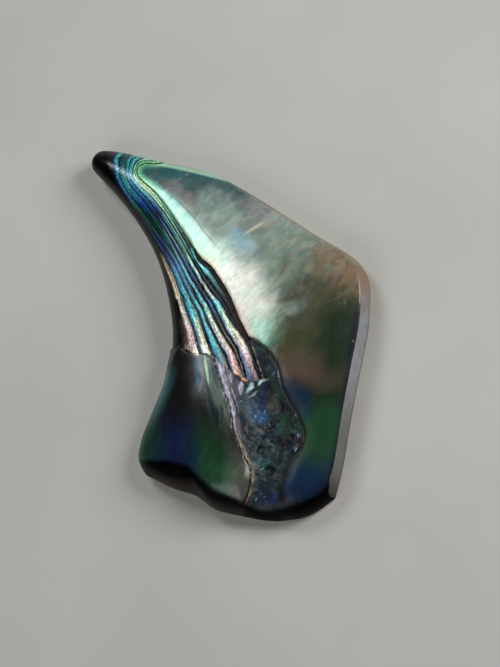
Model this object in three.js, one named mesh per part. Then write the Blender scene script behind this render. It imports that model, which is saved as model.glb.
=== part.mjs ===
// A polished piece of abalone shell: one thick, hooked fragment with a rounded crest, a flank that rolls down
// along its hollow side, a sawn long side, a rough groove between two lobes, and a back lapped flat.
// Millimetres, +Z up. It lies on its back, with the middle of its bounding box's base at the origin.
import * as THREE from "three";
import { ParametricGeometry } from "three/addons/geometries/ParametricGeometry.js";
import { mergeGeometries, mergeVertices } from "three/addons/utils/BufferGeometryUtils.js";

// Stations run from the hooked tip to the broad foot. Each has the outline's points on the hollow and the sawn
// side, the heights across it (rim of the hollow side, crest, brow above the sawn side, and that side's lower
// edge), and how far the side there is sawn flat, from 0, rolled, to 1.
const STATIONS = [
  { hollow: [-22.4, 29.6], sawn: [-22.4, 29.6], rim: 2.5, crest: 2.5, brow: 2.5, edge: 2.5, flat: 0 },
  { hollow: [-22.1, 28.2], sawn: [-21.0, 31.2], rim: 2.4, crest: 4.0, brow: 3.7, edge: 2.4, flat: 0 },
  { hollow: [-20.7, 26.4], sawn: [-17.6, 30.6], rim: 2.4, crest: 4.9, brow: 4.2, edge: 2.3, flat: 0 },
  { hollow: [-17.3, 22.1], sawn: [-11.0, 27.9], rim: 2.4, crest: 5.8, brow: 4.4, edge: 2.2, flat: 0 },
  { hollow: [-13.7, 16.6], sawn: [-2.4, 24.6], rim: 2.6, crest: 6.7, brow: 4.4, edge: 2.0, flat: 0 },
  { hollow: [-10.8, 10.5], sawn: [5.4, 19.0], rim: 2.8, crest: 7.3, brow: 4.3, edge: 2.0, flat: 0 },
  { hollow: [-9.1, 4.0], sawn: [13.4, 12.4], rim: 2.8, crest: 7.7, brow: 4.2, edge: 1.8, flat: 0 },
  { hollow: [-8.5, -2.4], sawn: [20.8, 6.0], rim: 2.6, crest: 7.8, brow: 4.1, edge: 1.2, flat: 0.4 },
  { hollow: [-9.5, -8.0], sawn: [21.0, -2.0], rim: 2.4, crest: 7.4, brow: 4.0, edge: 0.5, flat: 1 },
  { hollow: [-11.7, -13.2], sawn: [19.4, -10.2], rim: 2.2, crest: 6.8, brow: 4.0, edge: 0.5, flat: 1 },
  { hollow: [-13.5, -17.6], sawn: [17.9, -17.4], rim: 2.0, crest: 6.1, brow: 3.9, edge: 0.5, flat: 1 },
  { hollow: [-13.9, -20.3], sawn: [16.7, -24.0], rim: 1.8, crest: 5.7, brow: 3.7, edge: 0.5, flat: 1 },
  { hollow: [-12.8, -22.6], sawn: [15.5, -28.7], rim: 1.6, crest: 5.3, brow: 3.4, edge: 0.7, flat: 0.3 },
];

// The broad foot's outline, from the hollow side's corner past the notch between the lobes to the sawn corner.
const FOOT_OUTLINE = [
  [-12.8, -22.6],
  [-8.7, -25.0],
  [-4.9, -26.6],
  [-2.5, -28.7],
  [1.6, -30.1],
  [6.4, -31.3],
  [11.6, -31.0],
  [15.5, -28.7],
];
const FOOT_FLARE_FROM = 0.55; // share of the length where the rows start to bow out towards the foot
const FOOT_ROLL = { hollow: 0.1, sawn: 0.07 }; // share of the length over which the face rolls down to the foot

// Shape of each row across the piece.
const CREST_PLACE = 0.42; // share of the row's width where the crest stands
const FACE_FALL = 1.7; // power by which the face falls away from the crest
const ROLLED_EDGE = 1.3; // width of the rolled edge beside the face
const SAWN_EDGE = 0.5; // how far the sawn side leans out
const MOST_EDGE_SHARE = 0.3; // of the row's width, where the tip is narrow
const MOST_STEEPNESS = 0.42; // of the face where a rolled edge takes over, as a share of the edge's own fall

// The rough groove runs down the lower half to the foot, and widens on the way.
const GROOVE_LINE = [
  [3.4, -7.6],
  [5.2, -12.2],
  [7.0, -17.0],
  [7.8, -21.0],
  [6.8, -25.2],
  [5.6, -30.0],
];
const GROOVE_DEPTH = 1.3;
const GROOVE_HALF_WIDTH = { top: 1.6, belly: 4.4, foot: 3.0 };

// The smooth lobe beside the groove bulges, and its layer ends in a low ledge above the groove.
const LOBE = { x: -4.6, y: -17.2, across: 7.5, along: 10.5, height: 0.8 };
const LEDGE_LINE = [
  [-5.4, -5.2],
  [-2.6, -6.5],
  [-0.6, -8.6],
  [0.8, -13.9],
  [2.3, -20.0],
  [4.1, -24.6],
  [3.6, -28.1],
];
const LEDGE = { height: 0.4, run: 1.1, reach: 9 };

// The back is lapped flat, with a shallow natural hollow left in its middle.
const BACK_HOLLOW = { x: 1.5, y: -1.5, across: 8.5, along: 15, depth: 1.5 };
const BACK_ROLL = { hollow: 2.2, sawn: 0.7 }; // radius under the rim on each side

// Grid of the face and of the back.
const ROWS = 56;
const COLUMNS = 36;
const FLANK_COLUMNS = 0.42; // shares of the columns on the flank and on the outer edge
const EDGE_COLUMNS = 4 / COLUMNS;
const FOOT_ROWS = 5 / ROWS;
const WAIST = { row: 0.42, along: 0.53 }; // below the waist the rows stand closer, for the groove and the lobe
const TIP_CLOSENESS = 1.3; // above 1, the rows stand closer together at the tip
const CURVE_STEPS = 60;
const TINY = 1e-6; // keeps a division whole where the tip has no width

const { lerp, smoothstep, clamp } = THREE.MathUtils;
const flatCurve = (points) => new THREE.CatmullRomCurve3(points.map(([x, y]) => new THREE.Vector3(x, y, 0)));
const curveOf = (x, y, z) => new THREE.CatmullRomCurve3(STATIONS.map((s) => new THREE.Vector3(s[x], s[y], s[z])));

const hollowSide = flatCurve(STATIONS.map((s) => s.hollow));
const sawnSide = flatCurve(STATIONS.map((s) => s.sawn));
const footSide = flatCurve(FOOT_OUTLINE);
const upperHeights = curveOf("rim", "crest", "brow");
const sideShape = curveOf("edge", "flat", "flat");
const grooveLine = flatCurve(GROOVE_LINE).getPoints(CURVE_STEPS);
const ledgeLine = flatCurve(LEDGE_LINE).getPoints(CURVE_STEPS);

// A quarter circle's height, at a share of its radius in from the edge.
const quarterRound = (share) => Math.sqrt(1 - (1 - clamp(share, 0, 1)) ** 2);

// A smooth rounded swelling, 1 in its middle and 0 from its rim outwards.
function swelling(form, x, y) {
  const reach = ((x - form.x) / form.across) ** 2 + ((y - form.y) / form.along) ** 2;
  return reach < 1 ? (1 - reach) ** 2 : 0;
}

// The nearest point of a sampled line: its distance, its share of the line, and the side that the place is on,
// positive to the right of someone who walks along the line.
function nearestOn(line, x, y) {
  let best = { distance: Infinity };
  for (let i = 0; i < line.length - 1; i++) {
    const [from, to] = [line[i], line[i + 1]];
    const [dx, dy] = [to.x - from.x, to.y - from.y];
    const share = clamp(((x - from.x) * dx + (y - from.y) * dy) / (dx * dx + dy * dy), 0, 1);
    const [gapX, gapY] = [x - from.x - share * dx, y - from.y - share * dy];
    const distance = Math.hypot(gapX, gapY);
    if (distance < best.distance) {
      const side = Math.sign(gapX * dy - gapY * dx);
      best = { distance, share: (i + share) / (line.length - 1), side };
    }
  }
  return best;
}

// Where a grid point lies along the piece, and how much of the face's height is left there near the foot.
function rowPlace(row, column) {
  const roll = lerp(FOOT_ROLL.hollow, FOOT_ROLL.sawn, column);
  const faceEnd = 1 - FOOT_ROWS;
  if (row <= WAIST.row) return { along: WAIST.along * (row / WAIST.row) ** TIP_CLOSENESS, lift: 1 };
  if (row <= faceEnd) {
    return { along: lerp(WAIST.along, 1 - roll, (row - WAIST.row) / (faceEnd - WAIST.row)), lift: 1 };
  }
  const turn = (((row - faceEnd) / FOOT_ROWS) * Math.PI) / 2;
  return { along: 1 - roll + roll * Math.sin(turn), lift: Math.cos(turn) };
}

// The outline's points at both ends of a row, and the row's width.
function rowEnds(along) {
  const [hollow, sawn] = [hollowSide.getPoint(along), sawnSide.getPoint(along)];
  return { hollow, sawn, width: hollow.distanceTo(sawn) };
}

// The edge beside the face, at a share of its own width: how far out it is, and how much of its height is left.
// A rolled edge takes over at the face's own steepness, so no lip shows. A sawn one is straight.
function outerEdge(share, steepness, flat) {
  const startSine = steepness / (1 - steepness);
  const turn = lerp(Math.asin(startSine), Math.PI / 2, share);
  const out = (Math.sin(turn) - startSine) / (1 - startSine);
  const left = Math.cos(turn) / Math.sqrt(1 - startSine ** 2);
  return { out: lerp(out, share, flat), left: lerp(left, 1 - share, flat) };
}

// Across a row: the share of its width, and the height of the face there, from the flank over the crest and the
// face to the outer edge.
function acrossRow(column, along, width) {
  const { x: rim, y: crest, z: brow } = upperHeights.getPoint(along);
  const { x: edge, y: flatness } = sideShape.getPoint(along);
  const flat = clamp(flatness, 0, 1);
  const edgeShare = Math.min(MOST_EDGE_SHARE, lerp(ROLLED_EDGE, SAWN_EDGE, flat) / Math.max(width, TINY));
  const faceColumns = 1 - EDGE_COLUMNS - FLANK_COLUMNS;
  if (column <= FLANK_COLUMNS) {
    const turn = ((column / FLANK_COLUMNS) * Math.PI) / 2;
    return { across: CREST_PLACE * (1 - Math.cos(turn)), height: lerp(rim, crest, Math.sin(turn)), rim, edge };
  }
  if (column <= FLANK_COLUMNS + faceColumns) {
    const share = (column - FLANK_COLUMNS) / faceColumns;
    const across = lerp(CREST_PLACE, 1 - edgeShare, share);
    return { across, height: lerp(crest, brow, share ** FACE_FALL), rim, edge };
  }
  const share = (column - FLANK_COLUMNS - faceColumns) / EDGE_COLUMNS;
  const faceSlope = (FACE_FALL * (crest - brow)) / (1 - edgeShare - CREST_PLACE);
  const steepness = clamp((faceSlope * edgeShare) / Math.max(brow - edge, TINY), 0, MOST_STEEPNESS);
  const { out, left } = outerEdge(share, steepness, flat);
  return { across: 1 - edgeShare + edgeShare * out, height: lerp(edge, brow, left), rim, edge };
}

// The groove's depth below the face.
function grooveDepth(x, y) {
  const { distance, share } = nearestOn(grooveLine, x, y);
  const { top, belly, foot } = GROOVE_HALF_WIDTH;
  const halfWidth = share < 0.5 ? lerp(top, belly, share * 2) : lerp(belly, foot, share * 2 - 1);
  const rise = smoothstep(share, 0, 0.3);
  return GROOVE_DEPTH * rise * (1 - smoothstep(distance, 0.35 * halfWidth, halfWidth));
}

// The lobe's bulge, and the step up from the groove on to its layer.
function lobeRise(x, y) {
  const { distance, side } = nearestOn(ledgeLine, x, y);
  const inside = side > 0 ? 1 : -1;
  const step = smoothstep(inside * distance, -LEDGE.run, LEDGE.run);
  const fade = 1 - smoothstep(distance, LEDGE.reach / 2, LEDGE.reach);
  return LOBE.height * swelling(LOBE, x, y) + LEDGE.height * step * fade;
}

// A grid point's place on the plan, with what the face and the back need to know there.
function planPoint(row, column) {
  const { along, lift } = rowPlace(row, column);
  const { hollow, sawn, width } = rowEnds(along);
  const { across, height, rim, edge } = acrossRow(column, along, width);
  const flare = smoothstep(along, FOOT_FLARE_FROM, 1);
  const [foot, footHollow, footSawn] = [footSide.getPoint(across), footSide.getPoint(0), footSide.getPoint(1)];
  const x = lerp(hollow.x, sawn.x, across) + flare * (foot.x - lerp(footHollow.x, footSawn.x, across));
  const y = lerp(hollow.y, sawn.y, across) + flare * (foot.y - lerp(footHollow.y, footSawn.y, across));
  return { x, y, height, lift, along, across, width, rimHeight: lerp(rim, edge, across) };
}

// How far the details of the face have faded out towards the rim, from 0 at the rim to 1 on the face.
function faceShare({ lift, across, width }) {
  const inFromRim = Math.min(across, 1 - across) * width;
  return lift * smoothstep(inFromRim, SAWN_EDGE, ROLLED_EDGE + SAWN_EDGE);
}

// The polished face.
function facePoint(row, column, target) {
  const at = planPoint(row, column);
  const detail = faceShare(at) * (lobeRise(at.x, at.y) - grooveDepth(at.x, at.y));
  target.set(at.x, at.y, at.rimHeight + at.lift * (at.height - at.rimHeight) + detail);
}

// The lapped back, rolled up to the rim all round.
function backPoint(row, column, target) {
  const at = planPoint(row, column);
  const toFoot = (1 - at.along) * rowEnds(1).width;
  const inFromRim = Math.min(at.across * at.width, (1 - at.across) * at.width, toFoot);
  const roll = lerp(BACK_ROLL.hollow, BACK_ROLL.sawn, at.across);
  const hollow = BACK_HOLLOW.depth * swelling(BACK_HOLLOW, at.x, at.y);
  target.set(at.x, at.y, at.rimHeight * (1 - quarterRound(inFromRim / roll)) + hollow);
}

// Joins sheets that share their borders into one closed surface, without the slivers at the tip.
function closedSurface(sheets) {
  for (const sheet of sheets) {
    sheet.deleteAttribute("normal");
    sheet.deleteAttribute("uv");
  }
  const joined = mergeVertices(mergeGeometries(sheets));
  const kept = [];
  for (let i = 0; i < joined.index.count; i += 3) {
    const corners = [0, 1, 2].map((k) => joined.index.getX(i + k));
    if (new Set(corners).size === 3) kept.push(...corners);
  }
  joined.setIndex(kept);
  joined.computeVertexNormals();
  return joined;
}

const face = new ParametricGeometry((u, v, target) => facePoint(1 - v, u, target), COLUMNS, ROWS);
const back = new ParametricGeometry((u, v, target) => backPoint(v, u, target), COLUMNS, ROWS);
const nacre = new THREE.MeshStandardMaterial({ color: 0x56736f, roughness: 0.22, metalness: 0.25 });
const shell = new THREE.Mesh(closedSurface([face, back]), nacre);
shell.name = "abalone_shell";

// The middle of the outline's box goes over the origin.
shell.geometry.computeBoundingBox();
const middle = shell.geometry.boundingBox.getCenter(new THREE.Vector3());
shell.position.set(-middle.x, -middle.y, 0);

const piece = new THREE.Group();
piece.add(shell);

export default piece;
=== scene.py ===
# A polished, hooked piece of abalone shell on a plain pale floor.
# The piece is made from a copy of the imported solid, which is refined, carved and given procedural materials.
import math

import bpy
import numpy as np
from mathutils import Matrix, Vector


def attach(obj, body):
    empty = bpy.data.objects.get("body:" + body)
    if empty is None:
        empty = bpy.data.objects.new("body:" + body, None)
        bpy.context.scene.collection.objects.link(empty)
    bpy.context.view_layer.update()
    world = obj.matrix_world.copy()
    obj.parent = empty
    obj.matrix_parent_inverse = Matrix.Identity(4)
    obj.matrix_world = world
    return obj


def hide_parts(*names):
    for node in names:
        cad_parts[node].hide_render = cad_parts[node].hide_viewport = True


MM = 0.001

# The view. It is also the plane that the markings are drawn on: tilted back, with the shell's +Y upwards.
AZIMUTH = math.radians(35)
ELEVATION = math.radians(62)
DISTANCE = 330.0
AIM = Vector((1.25, -2.83, 3.0))
SLIDE_RIGHT = 2.66
SLIDE_UP = 0.52
LENS = 120.8
SENSOR = 36.0
BACKWARD = Vector(
    (
        math.sin(AZIMUTH) * math.cos(ELEVATION),
        -math.cos(AZIMUTH) * math.cos(ELEVATION),
        math.sin(ELEVATION),
    )
)
UPWARD = (Vector((0, 1, 0)) - BACKWARD.y * BACKWARD).normalized()
SIDEWAYS = UPWARD.cross(BACKWARD)
EYE = AIM + DISTANCE * BACKWARD + SLIDE_RIGHT * SIDEWAYS + SLIDE_UP * UPWARD

# The studio, in metres: the floor, and soft boxes with their places, sizes, energies and colours.
FLOOR_SIZE = 3
FLOOR_DROP = 0.05 * MM
LIGHTS = [
    ("key", (0.27, 0.08, 0.19), 0.16, 0.9, (1.0, 0.97, 0.92)),
    ("front_fill", (-0.14, -0.28, 0.26), 0.22, 0.45, (1.0, 0.99, 0.97)),
    ("crest_sheen", (-0.16, 0.22, 0.27), 0.14, 0.6, (0.96, 0.98, 1.0)),
]

# Markings, as points in millimetres on the drawing plane, from the middle of the picture.
# The hollow edge and the crack start outside the shell, so that the layers run out over its top edge.
HOLLOW_EDGE = [
    (-8.0, 33.0), (-15.0, 32.0), (-20.0, 29.5), (-22.5, 27.4), (-22.9, 26.0), (-22.6, 24.4), (-19.9, 21.2),
    (-17.0, 17.5), (-14.5, 13.5), (-13.3, 10.5), (-11.9, 4.9), (-11.4, -1.0), (-11.5, -2.7), (-11.9, -5.4),
    (-13.6, -9.8), (-15.3, -14.2), (-16.2, -17.6), (-15.9, -19.1),
]
CRACK = [
    (-9.0, 27.0), (-11.4, 25.7), (-13.6, 25.0), (-15.3, 25.1), (-16.4, 24.6), (-16.6, 23.5), (-15.9, 22.5),
    (-14.3, 21.1), (-12.7, 19.2), (-11.1, 16.9), (-9.3, 14.2), (-8.6, 13.1), (-7.2, 11.1), (-5.8, 10.0),
    (-4.4, 8.0), (-3.4, 6.4), (-2.5, 4.5), (-1.5, 2.0), (-0.1, -0.7), (0.6, -2.7), (1.3, -4.8), (1.9, -6.7),
]
# Which of the crack's marks lie outside the shell, where it steps aside, and where the groove begins.
CRACK_LEAD = 2
CRACK_STEP = slice(11, 15)
CRACK_TO_GROOVE = 18
BREAK = [
    (-11.8, -2.3), (-9.9, -2.3), (-8.8, -2.7), (-8.1, -3.1), (-7.4, -3.2), (-6.5, -2.9), (-5.2, -3.8),
    (-4.1, -4.5), (-2.7, -5.7), (-1.0, -6.6), (0.3, -6.9), (1.9, -6.7),
]
BREAK_TO_LEDGE = 6
LEDGE = [
    (-5.2, -3.8), (-4.0, -7.7), (-2.8, -11.1), (-2.4, -13.9), (-1.2, -17.3), (0.1, -20.1), (-0.1, -22.9),
    (-0.9, -25.1),
]
GROOVE_SIDE = [
    (-0.1, -0.7), (1.2, -1.3), (2.7, -2.7), (4.1, -4.8), (4.9, -8.2), (6.7, -11.4), (7.8, -13.9),
    (8.0, -15.4), (7.5, -16.9), (6.7, -18.1), (5.5, -19.4), (5.0, -21.5), (4.6, -22.9), (5.0, -25.3),
]
FOOT_LINE = [
    (-16.4, -18.7), (-12.7, -18.7), (-9.4, -19.4), (-7.4, -21.2), (-5.3, -22.6), (-2.4, -24.1),
    (-0.5, -25.1), (1.9, -26.0), (6.0, -25.3), (9.8, -23.9), (11.7, -22.2),
]
FOOT_TO_LEDGE = 6
GROWTH_LINE = [
    (-14.5, 23.8), (-12.5, 21.2), (-10.3, 19.2), (-8.1, 16.9), (-6.6, 14.8), (-4.4, 12.3), (-2.2, 10.5),
    (-0.7, 9.7),
]
TOP_EDGE = [
    (-16.2, 25.5), (-10.3, 24.4), (-4.4, 23.0), (-1.5, 22.1), (1.5, 19.7), (7.4, 15.9), (13.3, 12.4),
    (17.0, 9.7),
]
ARRIS = [(15.9, 2.9), (15.0, -3.9), (14.0, -11.3), (12.5, -20.1), (11.8, -22.3), (10.3, -24.0)]
# Corners outside the shell that close the outlines of the flank, the lobe, the groove and the foot.
FLANK_CORNERS = [(-16, -2.3), (-30, 10), (-30, 30), (-12, 33)]
LOBE_CORNERS = [(-22, -20.2), (-22, -2.3)]
GROOVE_CORNERS = [(4.8, -28), (-0.9, -28)]
FOOT_CORNERS = [(16, -24), (16, -34), (-24, -34), (-24, -18.7)]
# How far the lobe's outline dips below the foot line.
LOBE_DIP = 1.5
# Pits in the face and holes in the groove, each with its middle and its radius.
PITS = [
    (6.6, 9.7, 0.3), (4.9, 4.2, 0.25), (7.5, 3.8, 0.3), (5.9, 3.3, 0.35), (8.7, 3.6, 0.2), (14.2, 4.6, 0.25),
]
GROOVE_HOLES = [(1.7, -17.2, 1.1), (3.2, -13.6, 0.9), (5.0, -16.4, 1.4), (2.9, -20.2, 1.0)]
SPLINE_STEPS = 6

# The sawn wall on the long side: how far out it starts and how far up it reaches, in millimetres.
WALL_SIDE = 8.0
WALL_TOP = 5.5
# How far sideways, and how little up or down, a face of the wall looks, and how far down one of the back.
WALL_FACING = 0.72
WALL_LEAN = 0.6
BACK_FACING = -0.35
# The arris is kept sharp above this height, where its two sides meet at more than this angle.
ARRIS_HEIGHT = 2.5
ARRIS_ANGLE = math.radians(40)
ARRIS_CREASE = 0.8

# How the solid is made smooth, and where it is divided once more for the relief.
WELD = 0.001
ROUNDING_LEVELS = 2
SMOOTH_ANGLE = math.radians(50)
DETAIL_MARGIN = 0.2
DETAIL_LEDGE = 0.7
DETAIL_FACING = 0.15
FAINTEST_RELIEF = 0.002

# How far each kind of relief is raised, or cut where it is negative, in millimetres.
RELIEF = {
    "layer_lines": -0.13,
    "crack": -0.45,
    "lobe_ledge": 0.3,
    "groove_border": -0.22,
    "groove_rubble": 0.3,
    "groove_grit": 0.5,
    "groove_holes": -0.5,
    "pits": -0.15,
    "face_swell": 0.1,
}
# How large the rubble, the grit and the swells of the relief are, in millimetres.
RUBBLE_SIZE = 2.0
GRIT_SIZE = 0.8
SWELL_SIZE = 5.0

# The dark lines between the flank's layers, as shares of the way from the hollow edge to the crack.
# Each row is one line, and each column a distance along the crack in millimetres.
LAYER_STATIONS = [3.4, 4.2, 6, 10, 14, 17, 20, 24, 28, 31, 34, 38]
LAYER_LINES = [
    [0.30, 0.17, 0.10, 0.09, 0.07, 0.07, 0.13, 0.16, 0.18, 0.23, 0.25, 0.25],
    [0.36, 0.20, 0.12, 0.11, 0.12, 0.18, 0.24, 0.245, 0.255, 0.35, 0.40, 0.45],
    [0.42, 0.235, 0.145, 0.14, 0.21, 0.30, 0.355, 0.37, 0.45, 0.47, 0.50, 0.60],
    [0.53, 0.36, 0.285, 0.295, 0.345, 0.41, 0.455, 0.475, 0.515, 0.575, 0.64, 0.70],
    [0.67, 0.58, 0.545, 0.55, 0.54, 0.53, 0.54, 0.58, 0.63, 0.70, 0.755, 0.81],
    [0.75, 0.68, 0.66, 0.645, 0.64, 0.65, 0.645, 0.65, 0.70, 0.765, 0.80, 0.83],
    [0.876, 0.82, 0.80, 0.81, 0.815, 0.80, 0.755, 0.735, 0.83, 0.91, 0.955, 0.97],
    [0.93, 0.91, 0.90, 0.91, 0.91, 0.87, 0.80, 0.82, 0.87, 0.93, 0.97, 0.985],
]
# Millimetres past the crack that count as one more layer.
BEYOND_CRACK = 5

# The bright bloom beside the crack, partly pale nacre and partly a painted highlight: how far it reaches over
# the face, at distances along the crack.
BLOOM = {
    "along": [0, 4, 7, 10, 14, 18, 22, 25, 28, 31, 34, 36, 38],
    "reach": [0.4, 0.6, 1.1, 1.7, 2.3, 3.0, 3.8, 5.0, 5.6, 5.0, 3.4, 1.8, 0.8],
}


def spline(marks):
    """A smooth line through the marks, as an array of points."""
    marks = np.array(marks, float)
    padded = np.vstack([2 * marks[0] - marks[1], marks, 2 * marks[-1] - marks[-2]])
    share = np.linspace(0, 1, SPLINE_STEPS, endpoint=False)[:, None]
    points = []
    for before, start, end, after in zip(padded, padded[1:], padded[2:], padded[3:]):
        linear = end - before
        square = 2 * before - 5 * start + 4 * end - after
        cube = 3 * (start - end) + after - before
        points.append(start + 0.5 * share * (linear + share * (square + share * cube)))
    return np.vstack(points + [marks[-1:]])


def line_length(line):
    """The length of a line of points."""
    return float(np.hypot(*np.diff(line, axis=0).T).sum())


def nearest(points, line):
    """Distance to a line, millimetres along it, and which side: positive to the left of the way it runs."""
    best = np.full(len(points), np.inf)
    along = np.zeros(len(points))
    side = np.ones(len(points))
    walked = 0.0
    for start, end in zip(line, line[1:]):
        step = end - start
        length = np.hypot(*step)
        gap = points - start
        share = np.clip((gap @ step) / length**2, 0, 1)
        away = np.hypot(gap[:, 0] - share * step[0], gap[:, 1] - share * step[1])
        closer = away < best
        best = np.where(closer, away, best)
        along = np.where(closer, walked + share * length, along)
        turn = step[0] * gap[:, 1] - step[1] * gap[:, 0]
        side = np.where(closer, np.where(turn >= 0, 1.0, -1.0), side)
        walked += length
    return best, along, side


def depth_inside(points, outline):
    """How far inside a closed outline a point lies, negative outside it."""
    closed = np.vstack([outline, outline[:1]])
    distance = nearest(points, closed[np.r_[True, np.any(np.diff(closed, axis=0) != 0, axis=1)]])[0]
    within = np.zeros(len(points), bool)
    x, y = points.T
    for (x0, y0), (x1, y1) in zip(closed, closed[1:]):
        if y0 == y1:
            continue
        crosses = (y0 > y) != (y1 > y)
        within ^= crosses & (x < x0 + (x1 - x0) * (y - y0) / (y1 - y0))
    return np.where(within, distance, -distance)


def eased(low, high, value):
    """0 below low, 1 above high, and smooth between them."""
    share = np.clip((value - low) / (high - low), 0, 1)
    return share * share * (3 - 2 * share)


def wander(x, y, size):
    """A smooth uneven field between about -1 and 1, with swells of the given size."""
    a = np.sin(2.1 * x / size + 1.3 * np.sin(1.7 * y / size + 0.4))
    b = np.sin(1.9 * y / size + 1.1 * np.sin(2.3 * x / size + 2.0) + 1.0)
    c = np.sin(3.7 * (x + y) / size + 0.7) * np.sin(3.1 * (x - y) / size + 2.2)
    return (a + b + c) / 2.2


def dents(points, marks):
    """1 in the middle of each round mark and 0 from its edge outwards, uneven at the rim."""
    deepest = np.zeros(len(points))
    for x, y, size in marks:
        reach = np.hypot(points[:, 0] - x, points[:, 1] - y) * (1 + 0.4 * wander(*points.T, size))
        deepest = np.maximum(deepest, 1 - eased(0.2 * size, size, reach))
    return deepest


def on_drawing(places):
    """Places on the shell, in metres, as points on the drawing plane in millimetres."""
    reach = places / MM - np.array(EYE)
    depth = -(reach @ np.array(BACKWARD))
    across = reach @ np.array(SIDEWAYS)
    upwards = reach @ np.array(UPWARD)
    return np.stack([across, upwards], 1) * (DISTANCE / depth)[:, None]


def smooth_table(along, stations, values):
    """Values between stations, with the kinks rounded more the further along they are."""
    nearby = [np.interp(along * stretch, stations, values) for stretch in (0.91, 0.97, 1.03, 1.09)]
    return np.mean(nearby, axis=0)


def layer_fields(share, along):
    """Which strip of the flank a place is on, counted from the hollow edge, and the strip's share."""
    lines = [smooth_table(along, LAYER_STATIONS, line) for line in LAYER_LINES] + [np.ones_like(along)]
    layer = share / lines[0] - 1
    width = lines[0]
    for number, (low, high) in enumerate(zip(lines, lines[1:])):
        within = share >= low
        layer = np.where(within, number + (share - low) / (high - low), layer)
        width = np.where(within, high - low, width)
    return layer, width


def shell_fields(places):
    """What the carving and the paint need to know at each place on the shell, in drawing millimetres."""
    drawing = on_drawing(places)
    crack_line = spline(CRACK)
    break_line = spline(BREAK)
    ledge_line = spline(LEDGE)
    groove_side = spline(GROOVE_SIDE)
    foot_line = spline(FOOT_LINE)
    crack, along, side = nearest(drawing, crack_line)
    along = along - line_length(crack_line[: CRACK_LEAD * SPLINE_STEPS + 1])
    hollow = nearest(drawing, spline(HOLLOW_EDGE))[0]
    layers_end, _, beyond = nearest(drawing, spline(CRACK[: CRACK_STEP.start] + CRACK[CRACK_STEP.stop :]))
    across = np.maximum(hollow + layers_end, 1e-6)
    layer, width = layer_fields(hollow / across, along)
    lobe_break = break_line[: BREAK_TO_LEDGE * SPLINE_STEPS]
    lobe_foot = foot_line[: FOOT_TO_LEDGE * SPLINE_STEPS] - (0, LOBE_DIP)
    groove_break = break_line[BREAK_TO_LEDGE * SPLINE_STEPS :]
    groove_crack = crack_line[CRACK_TO_GROOVE * SPLINE_STEPS :]
    flank_outline = np.vstack([crack_line, break_line[::-1], FLANK_CORNERS])
    lobe_outline = np.vstack([lobe_break, ledge_line, lobe_foot[::-1], LOBE_CORNERS])
    groove_ends = [groove_break, groove_crack[::-1]]
    groove_outline = np.vstack([*groove_ends, groove_side, GROOVE_CORNERS, ledge_line[::-1]])
    foot_outline = np.vstack([foot_line, FOOT_CORNERS])
    ledge, ledge_along, ledge_side = nearest(drawing, ledge_line)
    return {
        "drawing": np.hstack([drawing, np.zeros((len(drawing), 1))]),
        "crack": crack * side,
        "along": along,
        "layer": np.where(beyond > 0, len(LAYER_LINES) + layers_end / BEYOND_CRACK, layer),
        "strip": width * across,
        "hollow": hollow,
        "bloom": np.interp(along, BLOOM["along"], BLOOM["reach"]) - crack,
        "flank": depth_inside(drawing, flank_outline),
        "lobe": depth_inside(drawing, lobe_outline),
        "groove": depth_inside(drawing, groove_outline),
        "foot": depth_inside(drawing, foot_outline),
        "ledge": ledge * ledge_side,
        "ledge_along": ledge_along,
        "groove_side": nearest(drawing, groove_side)[0],
        "growth": nearest(drawing, spline(GROWTH_LINE))[0],
        "break": nearest(drawing, lobe_break)[0],
        "top_edge": nearest(drawing, spline(TOP_EDGE))[0],
        "arris": nearest(drawing, spline(ARRIS))[0],
        "pits": dents(drawing, PITS),
        "holes": dents(drawing, GROOVE_HOLES),
    }


def make_active(piece):
    """Only this piece is selected."""
    bpy.ops.object.select_all(action="DESELECT")
    piece.select_set(True)
    bpy.context.view_layer.objects.active = piece


def apply_modifier(piece, kind, **settings):
    """Adds one modifier and applies it."""
    make_active(piece)
    modifier = piece.modifiers.new(kind.lower(), kind)
    for name, value in settings.items():
        setattr(modifier, name, value)
    bpy.ops.object.modifier_apply(modifier=modifier.name)


def vertex_rows(source, name):
    """Three values for each vertex, one row each."""
    values = np.zeros(len(source) * 3)
    source.foreach_get(name, values)
    return values.reshape(-1, 3)


def vertex_places(piece):
    """The piece's vertices, in metres."""
    return vertex_rows(piece.data.vertices, "co")


def vertex_facing(piece):
    """How far the surface faces the view at each vertex."""
    return vertex_rows(piece.data.vertex_normals, "vector") @ np.array(BACKWARD)


def shell_blank(node):
    """The solid's shape as a new piece: its loose triangles are welded and joined into quads."""
    blank = bpy.data.objects.new("abalone_shell_polished", node.data.copy())
    bpy.context.scene.collection.objects.link(blank)
    make_active(blank)
    blank.data.materials.clear()
    bpy.ops.mesh.customdata_custom_splitnormals_clear()
    bpy.ops.object.mode_set(mode="EDIT")
    bpy.ops.mesh.select_all(action="SELECT")
    bpy.ops.mesh.remove_doubles(threshold=WELD * MM)
    bpy.ops.mesh.tris_convert_to_quads(face_threshold=math.pi, shape_threshold=math.pi)
    bpy.ops.mesh.select_all(action="DESELECT")
    bpy.ops.object.mode_set(mode="OBJECT")
    return blank


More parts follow.
